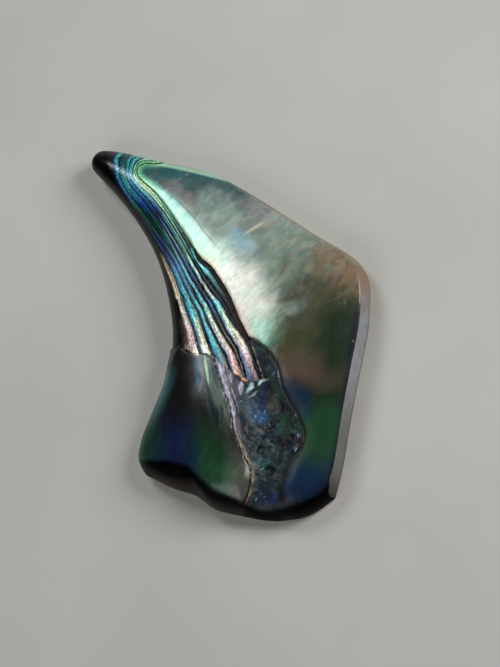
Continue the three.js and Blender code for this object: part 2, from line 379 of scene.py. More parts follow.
def crease_arris(piece):
    """Keeps the edge between the face and the sawn wall sharp when the piece is rounded."""
    make_active(piece)
    bpy.ops.object.mode_set(mode="EDIT")
    bpy.ops.mesh.select_mode(type="EDGE")
    bpy.ops.mesh.select_all(action="DESELECT")
    bpy.ops.mesh.edges_select_sharp(sharpness=ARRIS_ANGLE)
    bpy.ops.object.mode_set(mode="OBJECT")
    places = vertex_places(piece) / MM
    for edge in piece.data.edges:
        x, _, z = places[list(edge.vertices)].mean(0)
        edge.select = bool(edge.select and x > WALL_SIDE and z > ARRIS_HEIGHT)
    bpy.ops.object.mode_set(mode="EDIT")
    bpy.ops.transform.edge_crease(value=ARRIS_CREASE)
    bpy.ops.mesh.select_all(action="DESELECT")
    bpy.ops.mesh.select_mode(type="VERT")
    bpy.ops.object.mode_set(mode="OBJECT")


def refine(piece, wanted):
    """Divides the faces that lie wholly on wanted vertices once more."""
    make_active(piece)
    bpy.ops.object.mode_set(mode="EDIT")
    bpy.ops.mesh.select_mode(type="FACE")
    bpy.ops.mesh.select_all(action="DESELECT")
    bpy.ops.object.mode_set(mode="OBJECT")
    for face in piece.data.polygons:
        face.select = bool(wanted[list(face.vertices)].all())
    bpy.ops.object.mode_set(mode="EDIT")
    bpy.ops.mesh.subdivide(number_cuts=1)
    bpy.ops.mesh.select_all(action="DESELECT")
    bpy.ops.object.mode_set(mode="OBJECT")


def detailed_places(piece):
    """The vertices on the layered flank, in the groove or by the ledge, on the side that shows."""
    fields = shell_fields(vertex_places(piece))
    detailed = np.maximum(fields["flank"], fields["groove"]) > -DETAIL_MARGIN
    detailed |= np.abs(fields["ledge"]) < DETAIL_LEDGE
    return detailed & (vertex_facing(piece) > DETAIL_FACING)


def carve(piece, name, weights, texture=None):
    """Raises or cuts one kind of relief, all of it where the weights are 1, or the texture's share of it."""
    group = piece.vertex_groups.new(name=name)
    for index in np.nonzero(weights > FAINTEST_RELIEF)[0]:
        group.add([int(index)], float(weights[index]), "REPLACE")
    settings = {"vertex_group": name, "strength": RELIEF[name] * MM, "mid_level": 0.0, "direction": "NORMAL"}
    if texture:
        settings.update(texture=texture, mid_level=0.5, texture_coords="LOCAL")
    apply_modifier(piece, "DISPLACE", **settings)
    piece.vertex_groups.remove(piece.vertex_groups[name])


def line_weight(distance, half_width):
    """1 on a line and 0 from its half width outwards, rounded."""
    return 1 - eased(0.25 * half_width, half_width, np.abs(distance))


def cloud_texture(name, size, depth):
    """A cloudy texture for carving, with swells of the given size in millimetres."""
    made = bpy.data.textures.new(name, "CLOUDS")
    made.noise_scale = size * MM
    made.noise_depth = depth
    return made


def carve_shell(piece):
    """The relief that the polish has left: layers, crack, ledge, rough groove and pits."""
    fields = shell_fields(vertex_places(piece))
    seen = eased(0.02, 0.2, vertex_facing(piece))
    x, y, _ = fields["drawing"].T
    along = fields["along"]
    layer = fields["layer"]
    on_flank = eased(-0.1, 0.3, fields["flank"])
    gaps = np.abs(layer - np.round(layer)) * fields["strip"]
    between = (layer > 0.5) & (layer < len(LAYER_LINES) - 0.5)
    depth = np.interp(along, [10, 20], [0.1, 1.0])
    lines = (1 - eased(0.03, 0.17, gaps)) * between * on_flank * depth * seen
    carve(piece, "layer_lines", lines)

    crack_shift = np.interp(along, [17, 20, 32, 34], [0.0, 0.3, 0.3, 0.1])
    crack_gap = fields["crack"] + crack_shift + 0.1 * wander(along, along, 1.3) * eased(16, 20, along)
    stations = [0, 14, 17, 20, 24, 31, 34, 37]
    width = np.interp(along, stations, [0.14, 0.16, 0.25, 0.42, 0.45, 0.45, 0.3, 0.15])
    depth = np.interp(along, [0, 14, 19, 31, 34, 37], [0.2, 0.3, 1.0, 1.0, 0.6, 0.2])
    carve(piece, "crack", line_weight(crack_gap, width) * depth * seen)

    torn = 0.18 * wander(x, y, 0.9) + 0.08 * wander(y, x, 0.37)
    lobe = eased(-0.16, 0.16, fields["lobe"] + torn) * eased(0.4, 3.5, -fields["foot"]) * seen
    near_edge = 1 - eased(2.0, 7.0, np.minimum(fields["break"], np.abs(fields["ledge"])))
    carve(piece, "lobe_ledge", lobe * near_edge)

    side_line = line_weight(fields["groove_side"] + 0.1 * wander(y, x, 1.1), 0.4)
    carve(piece, "groove_border", side_line * eased(-19, -17, y) * seen)

    rubble = bpy.data.textures.new("groove_rubble", "VORONOI")
    rubble.noise_scale = RUBBLE_SIZE * MM
    rubble.distance_metric = "DISTANCE"
    floor = eased(0.0, 1.0, fields["groove"]) * eased(0.2, 2.5, -fields["foot"]) * seen
    carve(piece, "groove_rubble", floor, rubble)
    broken = 0.35 + 0.65 * eased(-0.3, 0.5, wander(x, y, 2.2))
    carve(piece, "groove_grit", floor * broken, cloud_texture("groove_grit", GRIT_SIZE, 2))
    carve(piece, "groove_holes", floor * fields["holes"])

    carve(piece, "pits", fields["pits"] * seen)
    smooth_face = eased(0.0, 2.0, np.minimum.reduce([-fields["flank"], -fields["groove"], -fields["foot"]]))
    carve(piece, "face_swell", smooth_face * seen, cloud_texture("face_swell", SWELL_SIZE, 1))


# Colours of the nacre, its edges and its painted shade and highlights, as they look on a screen, from 0 to
# 255.
TONES = {
    "ink": (6, 6, 8),
    "soot": (20, 19, 18),
    "umber": (44, 28, 18),
    "bronze": (126, 98, 74),
    "tan": (186, 164, 124),
    "coral": (232, 160, 120),
    "cream": (238, 236, 204),
    "pearl": (246, 248, 238),
    "blush": (238, 208, 206),
    "lilac": (206, 198, 230),
    "ice": (196, 238, 238),
    "mint": (184, 234, 200),
    "foam": (160, 222, 204),
    "lagoon": (98, 172, 156),
    "lime": (204, 232, 148),
    "sky": (150, 200, 234),
    "leaf": (104, 198, 132),
    "cyan": (104, 218, 224),
    "aqua": (64, 178, 172),
    "azure": (60, 140, 212),
    "cobalt": (22, 92, 204),
    "emerald": (20, 146, 92),
    "royal": (26, 62, 150),
    "marine": (12, 38, 72),
    "navy": (14, 22, 68),
    "midnight": (8, 12, 34),
    "petrol": (14, 42, 58),
    "teal": (30, 92, 94),
    "sea": (26, 100, 74),
    "bottle": (20, 42, 26),
    "moss": (26, 66, 40),
    "steel": (34, 82, 118),
    "sage": (116, 130, 118),
    "haze": (160, 188, 176),
    "fog": (142, 158, 150),
    "slate": (72, 92, 96),
    "smoke": (78, 80, 70),
    "olive": (66, 70, 46),
    "mauve": (86, 70, 62),
    "ash": (124, 118, 124),
    "pewter": (140, 146, 154),
}

# The flank's strips from the hollow edge to the crack, each with its colours at millimetres along the crack.
# The first strip's ink near the tip is painted shade, where the outer edge rolls away.
STRIPS = [
    [
        (3, "ink"), (13, "ink"), (16, "moss"), (18, "tan"), (21, "cream"), (26, "pearl"), (30, "blush"),
        (34, "cream"),
    ],
    [
        (3, "navy"), (10, "cobalt"), (15, "cobalt"), (18, "azure"), (21, "cyan"), (27, "cyan"), (29, "mint"),
        (31, "cream"),
    ],
    [
        (3, "aqua"), (5, "azure"), (8, "emerald"), (12, "emerald"), (15, "cobalt"), (19, "azure"),
        (24, "cyan"), (30, "cyan"), (33, "aqua"), (36, "sage"),
    ],
    [
        (3, "teal"), (5, "aqua"), (8, "cobalt"), (12, "emerald"), (16, "aqua"), (20, "cyan"), (24, "cyan"),
        (28, "mint"), (31, "cream"), (35, "blush"), (39, "coral"),
    ],
    [
        (3, "aqua"), (5, "azure"), (11, "cobalt"), (15, "azure"), (20, "steel"), (24, "navy"), (27, "azure"),
        (29, "umber"), (34, "tan"),
    ],
    [
        (3, "aqua"), (7, "cyan"), (10, "azure"), (15, "aqua"), (18, "leaf"), (21, "ice"), (24, "cream"),
        (27, "cyan"), (29, "mint"), (32, "cream"), (36, "blush"), (39, "ash"),
    ],
    [
        (3, "foam"), (7, "mint"), (11, "leaf"), (14, "emerald"), (17, "aqua"), (20, "teal"), (24, "slate"),
        (27, "steel"), (30, "soot"), (32, "umber"),
    ],
    [
        (3, "leaf"), (6, "lime"), (10, "leaf"), (14, "teal"), (17, "soot"), (20, "cyan"), (24, "teal"),
        (28, "umber"),
    ],
]

BLUE_SIDE = [(3, "royal"), (8, "navy"), (16, "navy"), (19, "royal"), (24, "azure")]

# The face from its foot up to the tip, darker towards the foot partly as nacre colour and partly as painted
# shade, and the lobe from its left rim to the ledge, in drawing millimetres.
FACE_FADE = [
    (-25, "midnight"), (-21, "petrol"), (-17, "moss"), (-12, "moss"), (-9, "bottle"), (-5.5, "mauve"),
    (-1, "olive"), (3, "olive"), (7, "smoke"), (11, "sage"), (17, "fog"), (21, "slate"), (25, "teal"),
]
LOBE_FADE = [
    (-17, "moss"), (-13.5, "petrol"), (-11, "navy"), (-8.5, "petrol"), (-6.5, "moss"), (-4.3, "moss"),
    (-2, "smoke"),
]

# The bloom along the crack, a painted highlight over pale nacre, its warm border beside the crack, and the
# tints that are streaked over it.
BLOOM_FADE = [
    (3, "aqua"), (6, "lagoon"), (12, "lagoon"), (16, "foam"), (20, "mint"), (23, "pearl"), (30, "pearl"),
    (33, "mint"), (36, "lagoon"),
]
BLOOM_BORDER = [
    (5, "leaf"), (9, "foam"), (13, "mint"), (17, "mint"), (21, "cream"), (27, "pearl"), (30, "blush"),
    (36, "blush"),
]
BLOOM_TINTS = ["foam", "blush", "ice"]
FACE_TINTS = ["tan", "lagoon", "pewter"]

# The floor of the groove by the strength of its noise, and the streaks that run beside the ledge.
GROOVE_DEPTH = [
    (0.30, "ink"), (0.40, "midnight"), (0.46, "petrol"), (0.51, "bottle"), (0.56, "petrol"), (0.62, "soot"),
    (0.70, "umber"),
]
LEDGE_STREAKS = [(0.3, "soot"), (0.45, "ash"), (0.52, "lilac"), (0.58, "slate"), (0.66, "soot")]

# The streaks on the crown of the lobe, by the strength of their noise.
CROWN_STREAKS = [(0.34, "petrol"), (0.44, "slate"), (0.52, "sage"), (0.62, "slate")]

# The sawn wall and the lapped back, by the strength of their clouds.
WALL_CLOUDS = [(0.3, "ash"), (0.5, "pewter"), (0.7, "ash")]
BACK_CLOUDS = [(0.28, "sage"), (0.40, "mint"), (0.50, "cream"), (0.60, "blush"), (0.72, "ice")]

# Patches of colour: middle and reach in drawing millimetres, turn in degrees, tone and how much of it shows.
FACE_PATCHES = [
    ((-10.4, 20.6), (5.0, 1.6), -40, "ash", 0.6),
    ((-4.4, 18.4), (5.0, 2.6), -40, "haze", 0.4),
    ((-1.4, 13.4), (3.8, 2.2), -40, "sky", 0.55),
    ((1.0, 17.6), (4.5, 2.4), -35, "ash", 0.45),
    ((14.5, 9.4), (8.5, 5.4), -30, "bronze", 0.75),
    ((6.6, 4.6), (5.5, 5.0), 0, "smoke", 0.8),
    ((6.0, 3.9), (2.4, 1.6), 0, "fog", 0.5),
    ((12.0, 5.6), (6.5, 4.0), -20, "olive", 0.6),
    ((14.2, -1.0), (6.5, 9.0), -8, "bottle", 0.95),
    ((6.9, -9.2), (4.6, 2.6), -55, "marine", 0.7),
    ((7.6, -21.6), (5.0, 3.8), 30, "marine", 0.7),
]
# The thin cream streak among these marks is a painted highlight.
FACE_MARKS = [
    ((-0.4, 5.4), (5.0, 2.4), -64, "pearl", 0.3),
    ((0.7, 15.6), (2.2, 0.35), 32, "cream", 0.4),
    ((10.2, 12.8), (1.2, 0.2), -30, "ash", 0.7),
    ((15.2, -1.1), (0.25, 0.25), 0, "pearl", 0.7),
]
LOBE_PATCHES = [
    ((-3.4, -20.6), (3.0, 2.8), 0, "sea", 0.2),
    ((-3.0, -21.4), (2.0, 2.2), 0, "sage", 0.15),
    ((-7.8, -5.8), (0.5, 3.4), 4, "steel", 0.8),
    ((-6.4, -5.4), (0.3, 3.0), 8, "mint", 0.6),
]
GROOVE_PATCHES = [
    ((1.5, -11.0), (2.8, 3.2), 0, "marine", 0.9),
    ((1.2, -11.8), (2.4, 2.2), 0, "steel", 0.7),
    # The next three small pewter and ash patches are painted highlights on lumps of the rubble.
    ((1.4, -14.6), (0.9, 0.6), 20, "pewter", 0.3),
    ((3.0, -13.4), (0.9, 0.6), 30, "ash", 0.35),
    ((2.4, -16.6), (0.8, 0.7), 0, "pewter", 0.25),
    ((3.4, -10.2), (1.4, 2.2), 0, "olive", 0.7),
    ((5.6, -13.4), (2.0, 2.6), 0, "moss", 0.7),
    ((1.6, -19.4), (2.0, 1.6), 0, "teal", 0.3),
    ((2.9, -24.2), (2.4, 2.0), 0, "navy", 0.8),
    ((-1.2, -6.6), (0.9, 0.6), -30, "coral", 0.9),
    ((1.8, -7.3), (1.2, 0.5), 25, "ice", 0.9),
    ((-1.6, -8.0), (0.5, 1.0), 15, "lilac", 0.7),
    ((-0.1, -7.7), (0.35, 1.0), -20, "ice", 0.7),
    ((0.4, -8.8), (1.0, 0.3), 35, "pewter", 0.7),
]


def tone(name):
    """A named colour in linear light."""
    parts = [part / 255 for part in TONES[name]]
    return tuple(part / 12.92 if part < 0.04 else ((part + 0.055) / 1.055) ** 2.4 for part in parts) + (1.0,)


class Paint:
    """Adds shader nodes to one tree and joins them."""

    # Where a Mix node that is set to colours has its two colours and its result.
    UNDER = 6
    OVER = 7
    MIXED = 2

    def __init__(self, tree):
        self.tree = tree
        self.fields = {}

    def node(self, kind, **settings):
        """One new node with its settings."""
        made = self.tree.nodes.new(kind)
        for name, value in settings.items():
            setattr(made, name, value)
        return made

    def feed(self, socket, value):
        """Joins a socket to another one, or sets its value."""
        if isinstance(value, bpy.types.NodeSocket):
            self.tree.links.new(value, socket)
        else:
            socket.default_value = value

    def field(self, name, output="Fac"):
        """A field that is stored on the mesh."""
        if name not in self.fields:
            self.fields[name] = self.node("ShaderNodeAttribute", attribute_name=name)
        return self.fields[name].outputs[output]

    def place(self):
        """The place on the piece, in millimetres."""
        found = self.node("ShaderNodeTexCoord").outputs["Object"]
        return self.move("DIVIDE", found, (MM, MM, MM))

    def move(self, operation, *places):
        """One sum on places."""
        made = self.node("ShaderNodeVectorMath", operation=operation)
        for socket, place in zip(made.inputs, places):
            self.feed(socket, place)
        return made.outputs[0]

    def math(self, operation, first, second=0.0):
        """One sum on two values."""
        made = self.node("ShaderNodeMath", operation=operation)
        self.feed(made.inputs[0], first)
        self.feed(made.inputs[1], second)
        return made.outputs[0]

    def plus(self, first, second, share):
        """A value and a share of another."""
        return self.math("ADD", first, self.math("MULTIPLY", second, share))

    def times(self, *values):
        """Values multiplied together."""
        product = values[0]
        for value in values[1:]:
            product = self.math("MULTIPLY", product, value)
        return product

    def vector(self, x, y, z=0.0):
        """Three values as one place."""
        made = self.node("ShaderNodeCombineXYZ")
        for socket, value in zip(made.inputs, (x, y, z)):
            self.feed(socket, value)
        return made.outputs[0]

    def parts(self, place):
        """The three values of a place."""
        made = self.node("ShaderNodeSeparateXYZ")
        self.feed(made.inputs[0], place)
        return made.outputs

    def spread(self, value, low, high, start=0.0, end=1.0):
        """Runs smoothly from start to end while the value goes from low to high."""
        made = self.node("ShaderNodeMapRange", interpolation_type="SMOOTHSTEP")
        for socket, number in zip(made.inputs, (value, low, high, start, end)):
            self.feed(socket, number)
        return made.outputs[0]

    def noise(self, place, size, detail=3.0, roughness=0.5, distortion=0.0, output=0):
        """Cloudy noise with swells of the given size."""
        made = self.node("ShaderNodeTexNoise")
        self.feed(made.inputs["Vector"], place)
        made.inputs["Scale"].default_value = 1 / size
        made.inputs["Detail"].default_value = detail
        made.inputs["Roughness"].default_value = roughness
        made.inputs["Distortion"].default_value = distortion
        return made.outputs[output]

    def ramp(self, value, stops):
        """Colours at stops of a value."""
        first = stops[0][0]
        length = stops[-1][0] - first
        made = self.node("ShaderNodeValToRGB")
        self.feed(made.inputs[0], self.math("DIVIDE", self.math("SUBTRACT", value, first), length))
        elements = made.color_ramp.elements
        while len(elements) < len(stops):
            elements.new(1.0)
        for element, (stop, name) in zip(elements, stops):
            element.position = (stop - first) / length
            element.color = tone(name)
        return made.outputs[0]

    def mix(self, share, under, over, mode="MIX"):
        """Lays one colour over another."""
        made = self.node("ShaderNodeMix", data_type="RGBA", blend_type=mode)
        self.feed(made.inputs[0], share)
        self.feed(made.inputs[self.UNDER], tone(under) if isinstance(under, str) else under)
        self.feed(made.inputs[self.OVER], tone(over) if isinstance(over, str) else over)
        return made.outputs[self.MIXED]

    def lit(self, colour, light):
        """A colour made lighter or darker."""
        return self.mix(1.0, colour, self.vector(light, light, light), "MULTIPLY")

    def patches(self, place, under, listed):
        """Lays soft round patches over a colour."""
        for middle, reach, turn, name, share in listed:
            moved = self.node("ShaderNodeMapping", vector_type="TEXTURE")
            self.feed(moved.inputs["Vector"], place)
            moved.inputs["Location"].default_value = (*middle, 0)
            moved.inputs["Rotation"].default_value = (0, 0, math.radians(turn))
            moved.inputs["Scale"].default_value = (*reach, 1)
            fall = self.node("ShaderNodeTexGradient", gradient_type="SPHERICAL")
            self.feed(fall.inputs["Vector"], moved.outputs[0])
            under = self.mix(self.spread(fall.outputs["Fac"], 0.0, 0.65, 0.0, share), under, name)
        return under

    def group(self, made, place, size):
        """Places one of the node groups."""
        placed = self.node("ShaderNodeGroup", node_tree=made)
        self.feed(placed.inputs["Place"], place)
        self.feed(placed.inputs["Size"], size)
        return placed.outputs

    def bump(self, shader, height, depth):
        """Bumps a shader by a height of 1 as a depth in millimetres."""
        made = self.node("ShaderNodeBump")
        made.inputs["Strength"].default_value = 1.0
        made.inputs["Distance"].default_value = depth * MM
        self.feed(made.inputs["Height"], height)
        self.feed(shader.inputs["Normal"], made.outputs[0])


def new_group(name, outputs):
    """An empty node group that takes a place and a size, and a brush to fill it with."""
    made = bpy.data.node_groups.new(name, "ShaderNodeTree")
    made.interface.new_socket("Place", in_out="INPUT", socket_type="NodeSocketVector")
    made.interface.new_socket("Size", in_out="INPUT", socket_type="NodeSocketFloat")
    for label in outputs:
        made.interface.new_socket(label, in_out="OUTPUT", socket_type="NodeSocketFloat")
    brush = Paint(made)
    given = brush.node("NodeGroupInput").outputs
    place = brush.move("DIVIDE", given["Place"], given["Size"])
    return made, brush, place, brush.node("NodeGroupOutput").inputs


def nacre_mottle_group():
    """The curdled look of nacre: broad clouds, finer ripples across them, and small flecks."""
    made, brush, place, put = new_group("nacre_mottle", ["Cloud", "Ripple", "Fleck"])
    brush.feed(put["Cloud"], brush.noise(place, 1.0, 5.0, 0.55, 0.8))
    brush.feed(put["Ripple"], brush.noise(place, 0.34, 5.0, 0.62, 0.4))
    brush.feed(put["Fleck"], brush.spread(brush.noise(place, 0.12, 2.0, 0.5, 0.3), 0.66, 0.76))
    return made


def fine_wear_group():
    """Hair scratches and tiny pits that are left after polishing or sawing."""
    made, brush, place, put = new_group("fine_wear", ["Scratch", "Pit"])
    drawn_out = brush.move("MULTIPLY", place, (0.35, 6.0, 6.0))
    brush.feed(put["Scratch"], brush.spread(brush.noise(drawn_out, 1.0, 2.0), 0.6, 0.72))
    brush.feed(put["Pit"], brush.spread(brush.noise(place, 0.5, 1.0, 0.4), 0.72, 0.8))
    return made


def new_material(name):
    """A material with its shader and a brush for its tree."""
    made = bpy.data.materials.new(name)
    made.use_nodes = True
    return made, Paint(made.node_tree), made.node_tree.nodes["Principled BSDF"]


def paint_flank(brush):
    """The layered flank: strips of colour that follow the layers, with dark lines between them, painted shade
    towards each strip's edges and painted light on the lower strips.
    """
    along = brush.field("along")
    flow = brush.vector(brush.times(along, 0.3), brush.field("layer"))
    sway = brush.math("SUBTRACT", brush.noise(flow, 1.0), 0.5)
    layer = brush.plus(brush.field("layer"), sway, 0.3)
    streak = brush.vector(brush.times(along, 0.5), brush.times(layer, 5.0))
    grain = brush.noise(streak, 1.0, 5.0, 0.65)
    station = brush.plus(along, brush.math("SUBTRACT", grain, 0.5), 8.0)
    drift = brush.plus(layer, brush.math("SUBTRACT", brush.noise(streak, 2.5), 0.5), 0.5)
    # Below the first strip, along the rolled outer edge, the flank is ink: painted shade.
    colour = tone("ink")
    for number, strip in enumerate(STRIPS):
        begun = brush.spread(drift, number - 0.15, number + 0.15)
        colour = brush.mix(begun, colour, brush.ramp(station, strip))
    within = brush.math("FRACT", layer)
    lower = brush.spread(along, 18.0, 23.0)
    inner = brush.times(brush.spread(layer, 0.9, 1.1), brush.spread(layer, 7.1, 6.9))
    bluer = brush.spread(along, 5.0, 11.0, 0.4, 0.85)
    blue_side = brush.times(brush.spread(within, 0.65, 0.0), inner, bluer)
    colour = brush.mix(blue_side, colour, brush.ramp(along, BLUE_SIDE))
    warm_side = brush.times(brush.spread(within, 0.55, 0.9), brush.spread(along, 25.0, 30.0), 0.3)
    colour = brush.mix(warm_side, colour, "blush")
    thread = brush.math("SINE", brush.plus(brush.times(layer, 19.0), grain, 5.0))
    shaft = brush.times(brush.spread(layer, 0.5, 1.5), brush.spread(layer, 6.6, 5.4))
    shaft = brush.times(brush.spread(along, 4.0, 11.0, 0.15, 1.0), brush.spread(along, 21.0, 15.0), shaft)
    dark_thread = brush.times(brush.spread(thread, 0.8, 0.0), shaft, 0.95)
    colour = brush.mix(dark_thread, colour, "midnight")
    # Painted shade: each strip darkens towards its edges as if rounded, less so on the crest strip.
    crown = brush.math("SUBTRACT", 0.5, brush.math("ABSOLUTE", brush.math("SUBTRACT", within, 0.5)))
    mottled = brush.spread(grain, 0.38, 0.62, 0.38, 1.35)
    grit = brush.spread(brush.noise(brush.field("drawing", "Vector"), 0.4, 2.0), 0.38, 0.62, 0.65, 1.25)
    edge_shade_floor = brush.spread(layer, 6.8, 7.1, 0.5, 0.9)
    rounded = brush.spread(crown, 0.0, 0.35, edge_shade_floor, 1.1)
    # Painted light: the lower strips, which face away from the lamps, are made lighter.
    brighter = brush.spread(along, 16.0, 23.0, 0.95, 1.3)
    colour = brush.lit(colour, brush.times(mottled, grit, rounded, brighter))
    gap = brush.math("MINIMUM", within, brush.math("SUBTRACT", 1.0, within))
    gap = brush.times(gap, brush.field("strip"))
    ragged = brush.times(brush.spread(grain, 0.42, 0.62), lower, 0.35)
    half = brush.math("ADD", brush.spread(along, 8.0, 22.0, 0.06, 0.12), ragged)
    line = brush.spread(brush.math("DIVIDE", gap, half), 0.45, 1.35, 1.0, 0.0)
    line = brush.times(line, brush.spread(layer, 0.3, 0.6), brush.spread(layer, 8.0, 7.8))
    return brush.mix(line, colour, "ink"), brush.times(line, lower)


def paint_face(brush, drawing, flat, combed, mottle):
    """The smooth face: clouded nacre that darkens towards the foot, partly as painted shade, and a bright
    bloom beside the crack, partly pale nacre and partly a painted highlight.
    """
    along = brush.field("along")
    crack = brush.field("crack")
    x, y, _ = brush.parts(drawing)
    colour = brush.ramp(y, FACE_FADE)
    colour = brush.patches(drawing, colour, FACE_PATCHES)
    ripple = brush.math("SUBTRACT", brush.spread(mottle["Ripple"], 0.35, 0.65), 0.5)
    rippled = brush.times(ripple, brush.spread(y, -6.0, 10.0, 0.12, 0.42))
    colour = brush.lit(colour, brush.math("ADD", rippled, 1.0))
    tints = brush.parts(brush.noise(combed, 1.6, 5.0, 0.6, 0.4, output=1))
    for tint, name in zip(tints, FACE_TINTS):
        height = brush.times(brush.spread(y, 2.0, 12.0, 0.0, 0.3), brush.spread(y, 23.0, 17.0, 0.2, 1.0))
        colour = brush.mix(brush.times(brush.spread(tint, 0.48, 0.72), height), colour, name)
    flecks = brush.times(mottle["Fleck"], brush.spread(y, 0.0, 8.0), brush.spread(x, 8.0, 4.0), 0.35)
    colour = brush.mix(flecks, colour, "ice")
    # The bloom beside the crack, with a paler haze around it, is partly pale nacre and partly a painted
    # highlight.
    uneven = brush.math("SUBTRACT", brush.plus(mottle["Cloud"], mottle["Ripple"], 0.5), 0.75)
    soft = brush.spread(along, 12.0, 26.0, 0.5, 2.6)
    edge = brush.plus(brush.field("bloom"), brush.times(uneven, soft), 2.0)
    stretch = brush.times(brush.spread(along, 8.0, 20.0), brush.spread(along, 34.0, 28.0), 0.45)
    halo = brush.times(brush.spread(edge, brush.times(soft, -2.2), 0.0), stretch)
    colour = brush.mix(halo, colour, "haze")
    share = brush.spread(edge, brush.times(soft, -1.0), soft)
    bloom_nacre_and_highlight = brush.ramp(along, BLOOM_FADE)
    for tint, name in zip(tints, BLOOM_TINTS):
        shown = brush.times(brush.spread(tint, 0.46, 0.66), brush.spread(along, 8.0, 24.0, 0.25, 0.45))
        bloom_nacre_and_highlight = brush.mix(shown, bloom_nacre_and_highlight, name)
    bloom_nacre_and_highlight = brush.mix(brush.spread(crack, 0.1, 1.5, 0.8, 0.0), bloom_nacre_and_highlight, brush.ramp(along, BLOOM_BORDER))
    bloom_nacre_and_highlight = brush.lit(bloom_nacre_and_highlight, brush.spread(brush.noise(combed, 0.7, 4.0, 0.6), 0.36, 0.62, 0.86, 1.12))
    colour = brush.mix(share, colour, bloom_nacre_and_highlight)
    grown = brush.times(brush.spread(along, 7.0, 12.0), brush.spread(along, 22.0, 17.0), 0.6)
    grown = brush.times(brush.spread(brush.field("growth"), 0.2, 0.02), grown)
    colour = brush.mix(grown, colour, "slate")
    colour = brush.patches(flat, colour, FACE_MARKS)
    # A thin rim along the top edge: mint where the layers run out over it, and bronze on the right as a
    # painted highlight where the edge rolls away.
    rim_tone = brush.mix(brush.spread(x, -3.0, 1.0), "mint", "bronze")
    colour = brush.mix(brush.spread(brush.field("top_edge"), 0.1, 0.45, 0.6, 0.0), colour, rim_tone)
    return brush.mix(brush.spread(brush.field("arris"), 0.1, 1.2, 0.85, 0.0), colour, "midnight")


def ledge_grain(brush, lengthwise, across):
    """Noise that is drawn out along the ledge."""
    length = brush.times(brush.field("ledge_along"), lengthwise)
    breadth = brush.times(brush.field("ledge"), across)
    return brush.noise(brush.vector(length, breadth), 1.0)


def paint_lobe(brush, drawing, flat, mottle):
    """The lobe: ink away from the foot as painted shade, with blue and green nacre near the foot and a grey
    crown along the ledge.
    """
    x, y, _ = brush.parts(drawing)
    # Away from the foot the lobe is ink: painted shade, a dark reflection in its hollow.
    colour = brush.mix(brush.spread(brush.field("foot"), -9.0, -2.5), "ink", brush.ramp(x, LOBE_FADE))
    upper = brush.spread(brush.field("ledge_along"), 12.0, 4.0, 0.1, 0.85)
    crown = brush.times(brush.spread(brush.math("ABSOLUTE", brush.field("ledge")), 4.2, 0.8), upper)
    colour = brush.mix(crown, colour, brush.ramp(ledge_grain(brush, 0.1, 0.7), CROWN_STREAKS))
    rim = brush.spread(brush.field("hollow"), 1.7, 0.3, 0.0, 0.85)
    colour = brush.mix(rim, colour, brush.mix(brush.spread(y, -9.0, -15.0), "teal", "moss"))
    shaded = brush.mix(brush.spread(x, -9.5, -7.0), "ink", colour)
    colour = brush.mix(brush.spread(y, -7.5, -3.5), colour, shaded)
    colour = brush.patches(flat, colour, LOBE_PATCHES)
    return brush.lit(colour, brush.spread(mottle["Ripple"], 0.3, 0.72, 0.75, 1.25))


def paint_groove(brush, drawing, mottle):
    """The rough floor of the groove: dark blue and green, with streaks by the ledge and bright chips, painted
    shade in its holes, and painted highlights on its rubble and flecks.
    """
    depth = brush.noise(drawing, 2.4, 4.0, 0.6, 0.3)
    colour = brush.ramp(depth, GROOVE_DEPTH)
    ledge_along = brush.field("ledge_along")
    reach = brush.spread(ledge_along, 2.0, 9.0, 3.2, 1.3)
    near = brush.spread(brush.math("DIVIDE", brush.field("ledge"), reach), 1.0, 0.2)
    near = brush.times(near, brush.spread(ledge_along, 22.0, 9.0, 0.5, 1.0))
    streaks = brush.ramp(ledge_grain(brush, 0.15, 2.0), LEDGE_STREAKS)
    streaks = brush.mix(brush.spread(ledge_along, 8.0, 14.0, 0.0, 0.8), streaks, "umber")
    colour = brush.mix(near, colour, streaks)
    colour = brush.patches(drawing, colour, GROOVE_PATCHES)
    colour = brush.lit(colour, brush.spread(mottle["Ripple"], 0.35, 0.65, 0.45, 1.35))
    # Painted shade in the holes of the groove.
    colour = brush.mix(brush.spread(brush.field("holes"), 0.3, 1.0, 0.0, 0.7), colour, "ink")
    # Painted glints: small sky-blue flecks over the groove.
    return brush.mix(brush.times(mottle["Fleck"], 0.5), colour, "sky")


